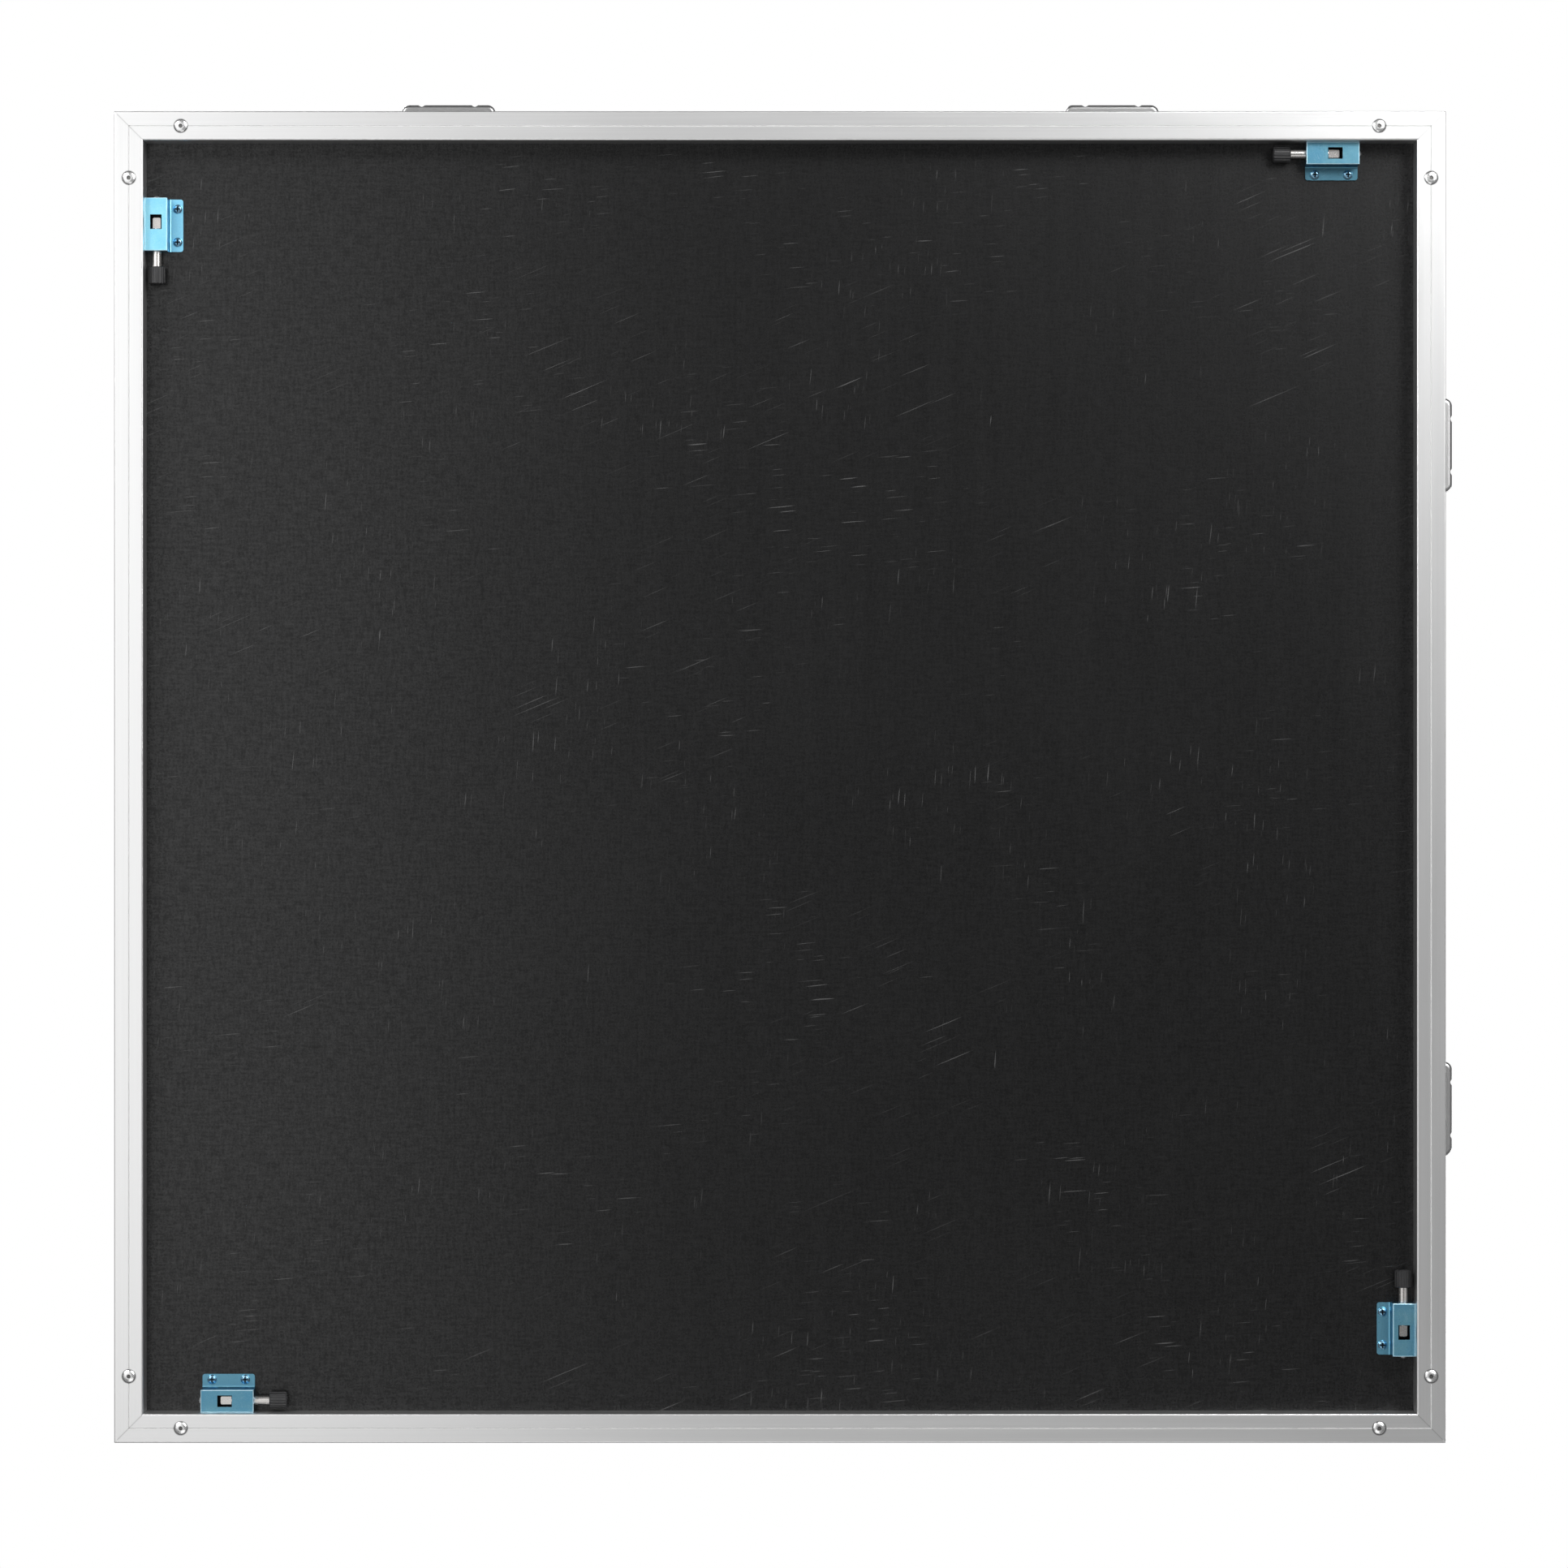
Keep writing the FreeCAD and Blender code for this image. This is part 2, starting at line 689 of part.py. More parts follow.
def make_knob(quarter):
    """The fluted pull knob pressed on the rod's spigot."""
    body = latch_body("knob", quarter)
    half = half_section(body)
    end = KNOB_FACE + " - knob_length"
    add_outline(half, [
        (KNOB_FACE, "knob_bore / 2"),
        (KNOB_FACE, "knob_diameter / 2 - knob_chamfer"),
        (KNOB_FACE + " - knob_chamfer", "knob_diameter / 2"),
        (end + " + knob_chamfer", "knob_diameter / 2"),
        (end, "knob_diameter / 2 - knob_chamfer"),
        (end, "knob_dish / 2"),
        (end + " + knob_dish_depth", "knob_dish / 2 - knob_dish_depth"),
        (end + " + knob_dish_depth", "0"),
        (KNOB_FACE + " - spigot_length", "0"),
        (KNOB_FACE + " - spigot_length", "knob_bore / 2"),
    ])
    revolve(body, "moulding", half, "H_Axis")
    flute = new_sketch(body, "flute_section", "YZ_Plane", (ROD_LINE, ROD_HEIGHT, KNOB_FACE))
    add_circle(flute, "0", "knob_diameter / 2 + knob_flute / 2 - knob_flute_depth", "knob_flute")
    cut = pocket(body, "flute", flute, "knob_length")
    polar(body, "flutes", cut, (flute, ["N_Axis"]), KNOB_FLUTES)


def make_stud(quarter):
    """The stop stud peened over outside the housing's far end wall."""
    body = latch_body("end_stud", quarter)
    half = half_section(body, LATCH_FAR)
    add_outline(half, [
        ("-housing_sheet - stud_collar_length", "0"),
        ("stud_peen_height", "0"),
        ("0", "stud_peen / 2"),
        ("0", "stud_shank / 2"),
        ("-housing_sheet", "stud_shank / 2"),
        ("-housing_sheet", "stud_collar / 2"),
        ("-housing_sheet - stud_collar_length", "stud_collar / 2"),
    ], domes=[(1, "DistanceY", "0")])
    revolve(body, "turning", half, "H_Axis")


# ---------------------------------------------------------------- fasteners


def fastener_body(name):
    """A body for one fastener on the Z axis, head down, that a group repeats."""
    body = doc.addObject("PartDesign::Body", name)
    body.Label = name
    return body


def make_group(label, fastener, places):
    """One sub-part that holds the same fastener at several places."""
    links = []
    for number, place in enumerate(places, start=1):
        link = doc.addObject("App::Link", "%s_%d" % (label, number))
        link.LinkedObject = fastener
        link.Placement = place
        links.append(link)
    group = doc.addObject("Part::Compound", label)
    group.Label = label
    group.Links = links
    group.Placement = FreeCAD.Placement()
    doc.recompute()
    sub_parts.append(group)


def quarter_turns(spots, lean=FreeCAD.Rotation()):
    """The placements of front-rail spots, leaned over and repeated by quarter turns."""
    places = []
    for quarter in range(4):
        turn = FreeCAD.Placement(
            FreeCAD.Vector(0, 0, 0), FreeCAD.Rotation(FreeCAD.Vector(0, 0, 1), 90 * quarter)
        )
        places += [turn.multiply(FreeCAD.Placement(spot, lean)) for spot in spots]
    return places


def make_rivet():
    """A blind rivet as set: domed head below, shank, and the bulb above what it clamps."""
    body = fastener_body("blind_rivet")
    grip = "rivet_head_height + rail_wall + cleat_floor"
    half = new_sketch(body, "half_section", "XZ_Plane")
    add_outline(half, [
        ("rivet_bore / 2", "0"),
        ("rivet_nose / 2", "0"),
        ("rivet_head / 2", "rivet_head_height - rivet_rim"),
        ("rivet_head / 2", "rivet_head_height"),
        ("rivet_shank / 2", "rivet_head_height"),
        ("rivet_shank / 2", grip),
        ("rivet_bulb / 2", grip),
        ("rivet_shank / 2", grip + " + rivet_bulb_height"),
        ("rivet_bore / 2", grip + " + rivet_bulb_height"),
    ], domes=[(1, "DistanceX", "rivet_nose / 2"), (6, "DistanceY", grip)])
    revolve(body, "upset_rivet", half, "V_Axis")
    return body


def make_mandrel():
    """The broken-off stem left in each rivet, with its cone-shaped head above the bulb."""
    body = fastener_body("mandrel_stub")
    top = "rivet_head_height + rail_wall + cleat_floor + rivet_bulb_height"
    half = new_sketch(body, "half_section", "XZ_Plane")
    add_outline(half, [
        ("0", "mandrel_recess"),
        ("mandrel_stem / 2", "mandrel_recess"),
        ("mandrel_stem / 2", top),
        ("mandrel_head / 2", top),
        ("0", top + " + mandrel_head_height"),
    ])
    revolve(body, "stem", half, "V_Axis")
    return body


def make_pan_screw():
    """A cross-recessed pan head screw, its bearing face at the origin and its point up."""
    body = fastener_body("pan_head_screw")
    half = new_sketch(body, "half_section", "XZ_Plane", ("0", "-screw_head_height", "0"))
    add_outline(half, [
        ("0", "0"),
        ("screw_head_flat / 2", "0"),
        ("screw_head / 2", "screw_head_height - screw_head_rim"),
        ("screw_head / 2", "screw_head_height"),
        ("screw_shank / 2", "screw_head_height"),
        ("screw_shank / 2", "screw_head_height + screw_length - screw_shank / 2"),
        ("0", "screw_head_height + screw_length"),
    ], domes=[(1, "DistanceX", "screw_head_flat / 2")])
    revolve(body, "blank", half, "V_Axis")
    cross = new_sketch(body, "cross", "XY_Plane", ("0", "0", "-screw_head_height + recess_depth"))
    arm = "recess_span / 2"
    slim = "recess_width / 2"
    add_outline(cross, [
        (arm, slim), (slim, slim), (slim, arm), ("-" + slim, arm), ("-" + slim, slim), ("-" + arm, slim),
        ("-" + arm, "-" + slim), ("-" + slim, "-" + slim), ("-" + slim, "-" + arm), (slim, "-" + arm),
        (slim, "-" + slim), (arm, "-" + slim),
    ])
    pocket(body, "recess", cross, "recess_depth + overcut")
    return body


def make_tongue_screw():
    """A countersunk self-tapping screw, its head's flat face at the origin and its point up."""
    body = fastener_body("countersunk_screw")
    half = new_sketch(body, "half_section", "XZ_Plane")
    add_outline(half, [
        ("0", "0"),
        ("tongue_screw_head / 2", "0"),
        ("tongue_screw_head / 2", "tongue_screw_head_height"),
        ("tongue_screw_shank / 2", "tongue_screw_head_height"),
        ("tongue_screw_shank / 2", "tongue_screw_length - tongue_screw_shank / 2"),
        ("0", "tongue_screw_length"),
    ])
    revolve(body, "blank", half, "V_Axis")
    return body


def fit_rivets():
    """Two rivets on each rail, one through each leg of each cleat."""
    rail_middle = size("deck_side") / 2 - size("rail_width") / 2
    along = size("deck_side") / 2 - size("rivet_inset")
    places = quarter_turns([FreeCAD.Vector(x, -rail_middle, 0) for x in (-along, along)])
    make_group("corner_rivets", make_rivet(), places)
    make_group("rivet_mandrels", make_mandrel(), places)


def fit_latch_screws():
    """Two pan head screws up through each latch flange into the board."""
    line = -size("deck_side") / 2 + size("rail_width") + size("housing_width") + size("screw_line")
    seat = (
        size("rivet_head_height") + size("ledge_height") + size("glue_thickness") - size("housing_sheet")
    )
    spots = [
        FreeCAD.Vector(size("latch_offset") + offset, line, seat)
        for offset in (-size("screw_spacing") / 2, size("screw_spacing") / 2)
    ]
    make_group("latch_screws", make_pan_screw(), quarter_turns(spots))


def fit_tongue_screws():
    """Two screws through the nose of each tongue into the back wall of the slot."""
    seat = -size("deck_side") / 2 - size("tongue_reach") + size("tongue_screw_sink")
    seat -= size("tongue_screw_head_height")
    level = size("rivet_head_height") + size("slot_floor") + size("tongue_thickness") / 2
    spots = [
        FreeCAD.Vector(middle + offset, seat, level)
        for middle in (-size("tongue_offset"), size("tongue_offset"))
        for offset in (-size("tongue_screw_spacing") / 2, size("tongue_screw_spacing") / 2)
    ]
    inwards = FreeCAD.Rotation(FreeCAD.Vector(1, 0, 0), -90)
    places = quarter_turns(spots, inwards)[: 2 * len(spots)]
    make_group("tongue_screws", make_tongue_screw(), places)


# ---------------------------------------------------------------- assembly

for quarter in range(4):
    make_rail(quarter)
    make_cleat(quarter)
fit_rivets()
make_glue_line()
make_sheet_layer("underside_film", UNDERSIDE, "film_thickness", "film_thickness + overcut")
make_sheet_layer(
    "deck_panel",
    UNDERSIDE + " + film_thickness",
    "board_thickness - film_thickness * 2",
    "screw_hole_depth",
)
make_sheet_layer("top_film", UNDERSIDE + " + board_thickness - film_thickness", "film_thickness")
for quarter in (0, 1):
    make_tongue(quarter, -1)
    make_tongue(quarter, 1)
fit_tongue_screws()
for quarter in range(4):
    make_housing(quarter)
    make_rod(quarter)
    make_washer(quarter)
    make_clip(quarter)
    make_spring(quarter)
    make_knob(quarter)
    make_stud(quarter)
fit_latch_screws()
doc.recompute()

# ---------------------------------------------------------------- checks and export

for item in doc.Objects:
    if "Invalid" in item.State or "Error" in item.State:
        raise RuntimeError("%s failed: %s" % (item.Label, item.State))
for sub_part in sub_parts:
    if sub_part.Shape.isNull() or not sub_part.Shape.isValid():
        raise RuntimeError(sub_part.Label + " has no valid shape")

os.makedirs("parts", exist_ok=True)
for sub_part in sub_parts:
    sub_part.Shape.exportStep("parts/%s.step" % sub_part.Label)
    box = sub_part.Shape.BoundBox
    print("%-24s %9.1f mm3  solids %d  %s" % (
        sub_part.Label, sub_part.Shape.Volume, len(sub_part.Shape.Solids), box
    ))
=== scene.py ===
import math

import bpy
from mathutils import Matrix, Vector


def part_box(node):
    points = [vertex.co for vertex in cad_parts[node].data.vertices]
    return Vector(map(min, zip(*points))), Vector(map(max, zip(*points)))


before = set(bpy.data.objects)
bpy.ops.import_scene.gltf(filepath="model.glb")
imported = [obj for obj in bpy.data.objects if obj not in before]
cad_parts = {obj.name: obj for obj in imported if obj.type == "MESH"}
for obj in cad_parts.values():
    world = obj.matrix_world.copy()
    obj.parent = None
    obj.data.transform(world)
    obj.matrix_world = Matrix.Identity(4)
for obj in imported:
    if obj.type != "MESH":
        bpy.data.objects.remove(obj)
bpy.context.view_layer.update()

# The looks of the square stage riser deck, built round its fixed frame. Metres, +Z up. The deck lies
# with its playing surface up; front is -Y and right is +X. The camera is below, square on to the
# underside, with the front rail at the top of the picture.

rail_low, rail_high = (Vector(corner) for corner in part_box("back_rail"))
RAIL_FLOOR = rail_low.z
DECK_HALF = rail_high.y
RAIL_MIDDLE = DECK_HALF - (rail_high.y - rail_low.y) / 2

# the rivets stand on the rails' middle lines, all at the same distance from the corners
rivet_points = [vertex.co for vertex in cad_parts["corner_rivets"].data.vertices]
front_rivet = [p for p in rivet_points if p.x > 0 > p.y and p.x < -p.y]
RIVET_LINE = RAIL_MIDDLE
RIVET_PLACE = (min(p.x for p in front_rivet) + max(p.x for p in front_rivet)) / 2
RIVET_RADIUS = (max(p.x for p in front_rivet) - min(p.x for p in front_rivet)) / 2

# each latch has two screws, side by side along its rail
screw_points = [vertex.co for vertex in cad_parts["latch_screws"].data.vertices]
front_screws = [p for p in screw_points if p.x > 0 > p.y and p.x < -p.y]
SCREW_LINE = -(min(p.y for p in front_screws) + max(p.y for p in front_screws)) / 2
SCREW_RADIUS = (max(p.y for p in front_screws) - min(p.y for p in front_screws)) / 2
screw_near, screw_far = min(p.x for p in front_screws), max(p.x for p in front_screws)
SCREW_MIDDLE = (screw_near + screw_far) / 2
SCREW_HALF_SPACING = (screw_far - screw_near) / 2 - SCREW_RADIUS
RECESS_HALF_WIDTH = 0.00055
RECESS_REACH = 0.00215

# the front latch's housing: its case, without the flange, lies between the rail and the bend
housing_low, housing_high = (Vector(corner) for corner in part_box("front_latch_housing"))
HOUSING_FACE = housing_low.z
housing_points = [vertex.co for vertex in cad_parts["front_latch_housing"].data.vertices]
FOLD_DEPTH = 0.001
case_points = [p for p in housing_points if p.z < HOUSING_FACE + FOLD_DEPTH]
CASE_WIDTH = max(p.y for p in case_points) - min(p.y for p in case_points)
HOUSING_MIDDLE = (-housing_low.y - CASE_WIDTH / 2, (housing_low.x + housing_high.x) / 2)
HOUSING_HALF = (CASE_WIDTH / 2, (housing_high.x - housing_low.x) / 2)
# painted light and shade: each latch's case and flange made lighter or darker for how the light falls
# on it
HOUSING_PAINTED_LIGHT = {"front": (0.72, 0.42), "right": (1.0, 0.95), "back": (0.67, 0.65), "left": (1.5, 1.35)}


# ---------------------------------------------------------------- material graphs


class Graph:
    """A material's node graph, written as calls that return sockets."""

    def __init__(self, name):
        self.material = bpy.data.materials.new(name)
        self.material.use_nodes = True
        self.tree = self.material.node_tree
        self.tree.nodes.clear()
        output = self.add("ShaderNodeOutputMaterial")
        self.surface = self.add("ShaderNodeBsdfPrincipled")
        self.tree.links.new(self.surface.outputs["BSDF"], output.inputs["Surface"])
        self.place = self.add("ShaderNodeTexCoord").outputs["Object"]

    def add(self, kind, **settings):
        """A new node with its settings."""
        node = self.tree.nodes.new(kind)
        for name, value in settings.items():
            setattr(node, name, value)
        return node

    def feed(self, socket, value):
        """Links a socket, or writes a plain value, into an input."""
        if isinstance(value, bpy.types.NodeSocket):
            self.tree.links.new(value, socket)
        else:
            socket.default_value = value

    def set(self, **values):
        """Inputs of the surface shader, by their names with underscores for spaces."""
        for name, value in values.items():
            self.feed(self.surface.inputs[name.replace("_", " ")], value)

    def math(self, operation, *values, clamp=False):
        """One arithmetic step."""
        node = self.add("ShaderNodeMath", operation=operation, use_clamp=clamp)
        for socket, value in zip(node.inputs, values):
            self.feed(socket, value)
        return node.outputs["Value"]

    def mapped(self, scale, turn=0.0, shift=(0.0, 0.0, 0.0)):
        """Object coordinates, turned about Z and then scaled per metre."""
        turned = self.add("ShaderNodeMapping")
        self.feed(turned.inputs["Vector"], self.place)
        turned.inputs["Rotation"].default_value = (0.0, 0.0, turn)
        turned.inputs["Location"].default_value = shift
        scaled = self.add("ShaderNodeMapping")
        self.feed(scaled.inputs["Vector"], turned.outputs["Vector"])
        scaled.inputs["Scale"].default_value = scale
        return scaled.outputs["Vector"]

    def noise(self, vector, scale=1.0, detail=2.0, roughness=0.5):
        """Smooth noise between 0 and 1."""
        node = self.add("ShaderNodeTexNoise")
        self.feed(node.inputs["Vector"], vector)
        node.inputs["Scale"].default_value = scale
        node.inputs["Detail"].default_value = detail
        node.inputs["Roughness"].default_value = roughness
        return node.outputs["Fac"]

    def spread(self, value, low, high, new_low=0.0, new_high=1.0):
        """A value carried from one range to another, held at its ends."""
        node = self.add("ShaderNodeMapRange", clamp=True)
        for socket, number in zip(node.inputs, (value, low, high, new_low, new_high)):
            self.feed(socket, number)
        return node.outputs["Result"]

    def mix(self, factor, first, second):
        """A blend of two colours."""
        node = self.add("ShaderNodeMix", data_type="RGBA")
        self.feed(node.inputs[0], factor)
        self.feed(node.inputs[6], first)
        self.feed(node.inputs[7], second)
        return node.outputs[2]

    def bump(self, height, distance, strength=1.0, normal=None):
        """A bumped normal, from a height between 0 and 1 and its depth in metres."""
        node = self.add("ShaderNodeBump")
        self.feed(node.inputs["Height"], height)
        node.inputs["Distance"].default_value = distance
        node.inputs["Strength"].default_value = strength
        if normal is not None:
            self.feed(node.inputs["Normal"], normal)
        return node.outputs["Normal"]

    def scratches(self, turn, length, width, where, amount):
        """Sparse straight scratches at one angle: stretched noise over a threshold, in patches."""
        lines = self.noise(self.mapped((1 / length, 1 / width, 1.0), turn), detail=1.0)
        patches = self.noise(self.mapped((where, where, 1.0), turn + 1.0), detail=2.0)
        keen = self.spread(lines, 0.74 - amount, 0.80 - amount)
        return self.math("MULTIPLY", keen, self.spread(patches, 0.52, 0.62))

    def strongest(self, *masks):
        """The strongest of several masks."""
        result = masks[0]
        for mask in masks[1:]:
            result = self.math("MAXIMUM", result, mask)
        return result

    def axes(self):
        """The absolute X, absolute Y and Z of a point, in metres."""
        split = self.add("ShaderNodeSeparateXYZ")
        self.feed(split.inputs["Vector"], self.place)
        x, y, z = (split.outputs[name] for name in "XYZ")
        return self.math("ABSOLUTE", x), self.math("ABSOLUTE", y), z

    def from_rivet(self):
        """Distance from the nearest corner rivet's middle, in metres."""
        x, y, _ = self.axes()
        across = self.math("SUBTRACT", self.math("MAXIMUM", x, y), RIVET_LINE)
        along = self.math("SUBTRACT", self.math("MINIMUM", x, y), RIVET_PLACE)
        return self.length(across, along)

    def length(self, first, second):
        """The length of a pair of coordinates."""
        squares = self.math(
            "ADD", self.math("MULTIPLY", first, first), self.math("MULTIPLY", second, second)
        )
        return self.math("SQRT", squares)


def grey(value, alpha=1.0):
    """A neutral colour."""
    return (value, value, value, alpha)


def underside_film():
    """Black phenolic film with a linen press mark, faint streaks along Y and short pale scuffs."""
    g = Graph("underside_film")
    warp = g.noise(g.mapped((430, 90, 1)), detail=3.0, roughness=0.65)
    weft = g.noise(g.mapped((90, 430, 1)), detail=3.0, roughness=0.65)
    fine = g.noise(g.mapped((620, 620, 1)), detail=2.0)
    weave = g.math("MULTIPLY", g.math("ADD", g.math("ADD", warp, weft), fine), 1 / 3)
    streaks = g.noise(g.mapped((70, 4, 1)), detail=3.0, roughness=0.6)
    cloud = g.noise(g.mapped((6, 6, 1)), detail=4.0, roughness=0.6)
    marks = g.strongest(
        g.scratches(0.08, 0.030, 0.0013, 7.0, 0.04),
        g.scratches(1.50, 0.024, 0.0012, 9.0, 0.04),
        g.scratches(0.40, 0.06, 0.0012, 5.0, 0.03),
    )
    tone = g.math(
        "ADD", g.spread(weave, 0.40, 0.60, 0.0, 0.85), g.spread(streaks, 0.3, 0.7, 0.0, 0.15)
    )
    dark = g.mix(tone, (0.0005, 0.0005, 0.0006, 1), (0.0050, 0.0050, 0.0052, 1))
    dusty = g.mix(g.spread(cloud, 0.45, 0.75, 0.0, 0.10), dark, (0.015, 0.015, 0.015, 1))
    sheen = g.math(
        "ADD", g.spread(weave, 0.40, 0.60, 0.30, 0.24), g.spread(streaks, 0.3, 0.7, -0.006, 0.006)
    )
    g.set(
        Base_Color=g.mix(g.math("MULTIPLY", marks, 0.45), dusty, (0.12, 0.12, 0.12, 1)),
        Roughness=g.math("ADD", sheen, g.math("MULTIPLY", marks, 0.08)),
        Specular_IOR_Level=g.spread(weave, 0.40, 0.60, 0.35, 0.56),
        Normal=g.bump(weave, 0.00012, 0.7),
    )
    return g.material


def top_film():
    """Black-brown anti-slip film, pressed with a wire mesh and greyed by feet."""
    g = Graph("top_film")
    first = g.add("ShaderNodeTexWave", wave_type="BANDS", bands_direction="X", wave_profile="SIN")
    second = g.add("ShaderNodeTexWave", wave_type="BANDS", bands_direction="Y", wave_profile="SIN")
    for wave in (first, second):
        g.feed(wave.inputs["Vector"], g.mapped((62, 62, 62), math.radians(45)))
        wave.inputs["Scale"].default_value = 1.0
        wave.inputs["Distortion"].default_value = 0.0
    knots = g.math("MULTIPLY", first.outputs["Fac"], second.outputs["Fac"])
    mesh = g.spread(knots, 0.25, 0.65)
    grain = g.noise(g.mapped((900, 900, 1)), detail=3.0)
    wear = g.noise(g.mapped((3.2, 3.2, 1)), detail=5.0, roughness=0.62)
    scuffs = g.strongest(
        g.scratches(0.4, 0.12, 0.0022, 3.0, 0.02), g.scratches(1.9, 0.15, 0.0020, 3.5, 0.02)
    )
    base = g.mix(mesh, (0.016, 0.014, 0.0125, 1), (0.030, 0.027, 0.024, 1))
    worn = g.mix(g.spread(wear, 0.42, 0.72, 0.0, 0.45), base, (0.060, 0.056, 0.052, 1))
    height = g.math("ADD", mesh, g.math("MULTIPLY", grain, 0.25))
    g.set(
        Base_Color=g.mix(g.math("MULTIPLY", scuffs, 0.5), worn, (0.14, 0.135, 0.13, 1)),
        Roughness=g.spread(wear, 0.35, 0.7, 0.52, 0.68),
        Normal=g.bump(height, 0.00035, 0.8),
    )
    return g.material


def aluminium(name, along, tone, roughness):
    """Extruded aluminium: fine die lines along the rail, faint stains and scratches, a soft grey scribe
    line with painted shade, painted shade round the rivets, and dirt in the mitres."""
    g = Graph(name)
    line_scale = (4, 1100, 1100) if along == "X" else (1100, 4, 1100)
    stain_scale = (7, 40, 40) if along == "X" else (40, 7, 40)
    lines = g.noise(g.mapped(line_scale), detail=3.0, roughness=0.7)
    stains = g.noise(g.mapped(stain_scale), detail=3.0)
    marks = g.strongest(
        g.scratches(0.7, 0.010, 0.0003, 25.0, 0.0), g.scratches(2.3, 0.016, 0.0003, 21.0, 0.0)
    )
    shade = g.mix(g.spread(lines, 0.3, 0.7), grey(tone * 0.965), grey(tone))
    stain = (tone * 0.86, tone * 0.86, tone * 0.87, 1)
    stained = g.mix(g.spread(stains, 0.5, 0.8, 0.0, 0.10), shade, stain)
    x, y, z = g.axes()
    across = y if along == "X" else x
    in_line = g.math("COMPARE", across, RAIL_MIDDLE, 0.0007)
    groove = g.math("MULTIPLY", in_line, g.spread(z, RAIL_FLOOR + 0.00002, RAIL_FLOOR + 0.0002))
    below = g.math("LESS_THAN", z, RAIL_FLOOR + 0.003)
    # painted shade: a dark ring on the rail round each rivet head
    ring = g.spread(g.from_rivet(), RIVET_RADIUS + 0.0009, RIVET_RADIUS, 0.0, 0.85)
    ring = g.math("MULTIPLY", ring, below)
    mitre = g.spread(g.math("ABSOLUTE", g.math("SUBTRACT", x, y)), 0.0009, 0.0002, 0.0, 0.18)
    worn = g.mix(g.math("MULTIPLY", marks, 0.2), stained, grey(tone * 0.75))
    # painted shade: the scribe groove is a dull grey, less metallic than the rail
    scribe_shaded = g.mix(groove, worn, grey(0.62))
    g.set(
        # darkens both the painted shade round the rivets and the dark mitre joints
        Base_Color=g.mix(g.strongest(ring, mitre), scribe_shaded, grey(0.10)),
        # less metallic in the scribe groove, part of its painted shade
        Metallic=g.spread(groove, 0.0, 1.0, 1.0, 0.25),
        Roughness=g.math(
            "ADD",
            g.spread(lines, 0.3, 0.7, roughness - 0.008, roughness + 0.008),
            g.spread(stains, 0.4, 0.8, 0.0, 0.015),
        ),
        Normal=g.bump(lines, 0.000003, 0.3),
    )
    return g.material


def toned(tone, red, green, blue):
    """A colour made lighter or darker, held below white."""
    return tuple(min(0.98, tone * part) for part in (red, green, blue)) + (1,)


def passivated_steel(name, tone, flange_painted_light):
    """Blue-passivated zinc on folded steel: a cool sheen that drifts, painted shade at the bend and a
    painted highlight on the folds. The case and the flange each have their own tone of painted light
    and shade."""
    g = Graph(name)
    drift = g.noise(g.mapped((45, 45, 45)), detail=2.0)
    fine = g.noise(g.mapped((900, 900, 900)), detail=2.0, roughness=0.7)
    rolled = g.noise(g.mapped((1900, 120, 400)), detail=2.0)
    # tone sets this latch's painted light and shade on the case
    cool = g.mix(
        g.spread(drift, 0.35, 0.65), toned(tone, 0.15, 0.44, 0.66), toned(tone, 0.22, 0.52, 0.66)
    )
    case = g.mix(g.spread(fine, 0.5, 0.8, 0.0, 0.25), cool, toned(tone, 0.46, 0.74, 0.88))
    x, y, z = g.axes()
    wall = g.spread(z, HOUSING_FACE + 0.0012, HOUSING_FACE + 0.0030)
    flange = g.spread(z, housing_high.z - 0.0030, housing_high.z - 0.0017)
    # the flange's tone is painted light and shade; the front latch's darker flange is a painted dark
    # reflection
    flange_colour = g.mix(
        fine, toned(flange_painted_light, 0.17, 0.46, 0.66), toned(flange_painted_light, 0.24, 0.56, 0.72)
    )
    finish = g.mix(flange, case, flange_colour)
    # painted shade: the bend between the case wall and the flange is darkened to deep blue
    bend = g.math("MULTIPLY", wall, g.math("SUBTRACT", 1.0, flange))
    marks = g.strongest(
        g.scratches(0.5, 0.012, 0.0003, 60.0, 0.06), g.scratches(2.0, 0.010, 0.0003, 70.0, 0.06)
    )
    worn = g.mix(g.math("MULTIPLY", marks, 0.5), finish, (0.70, 0.86, 0.94, 1))
    shaded = g.mix(g.math("MULTIPLY", bend, 0.75), worn, (0.03, 0.13, 0.24, 1))
    # painted highlight: a pale, less metallic band along the folds round the case's face, standing in
    # for light caught by the folded edges
    across = g.math("SUBTRACT", g.math("MAXIMUM", x, y), HOUSING_MIDDLE[0])
    along = g.math("SUBTRACT", g.math("MINIMUM", x, y), HOUSING_MIDDLE[1])
    to_side = g.math("SUBTRACT", HOUSING_HALF[0], g.math("ABSOLUTE", across))
    to_end = g.math("SUBTRACT", HOUSING_HALF[1], g.math("ABSOLUTE", along))
    on_face = g.spread(z, HOUSING_FACE + FOLD_DEPTH, HOUSING_FACE + 0.0006)
    fold = g.math("MULTIPLY", g.spread(g.math("MINIMUM", to_side, to_end), 0.0008, 0.0004), on_face)
    g.set(
        Base_Color=g.mix(g.math("MULTIPLY", fold, 0.6), shaded, (0.72, 0.92, 0.98, 1)),
        Metallic=g.spread(fold, 0.0, 1.0, 1.0, 0.45),
        Roughness=g.math(
            "ADD", g.spread(fine, 0.3, 0.7, 0.27, 0.32), g.spread(rolled, 0.4, 0.7, 0.0, 0.03)
        ),
        Normal=g.bump(g.math("ADD", fine, rolled), 0.00001, 0.3),
    )
    return g.material


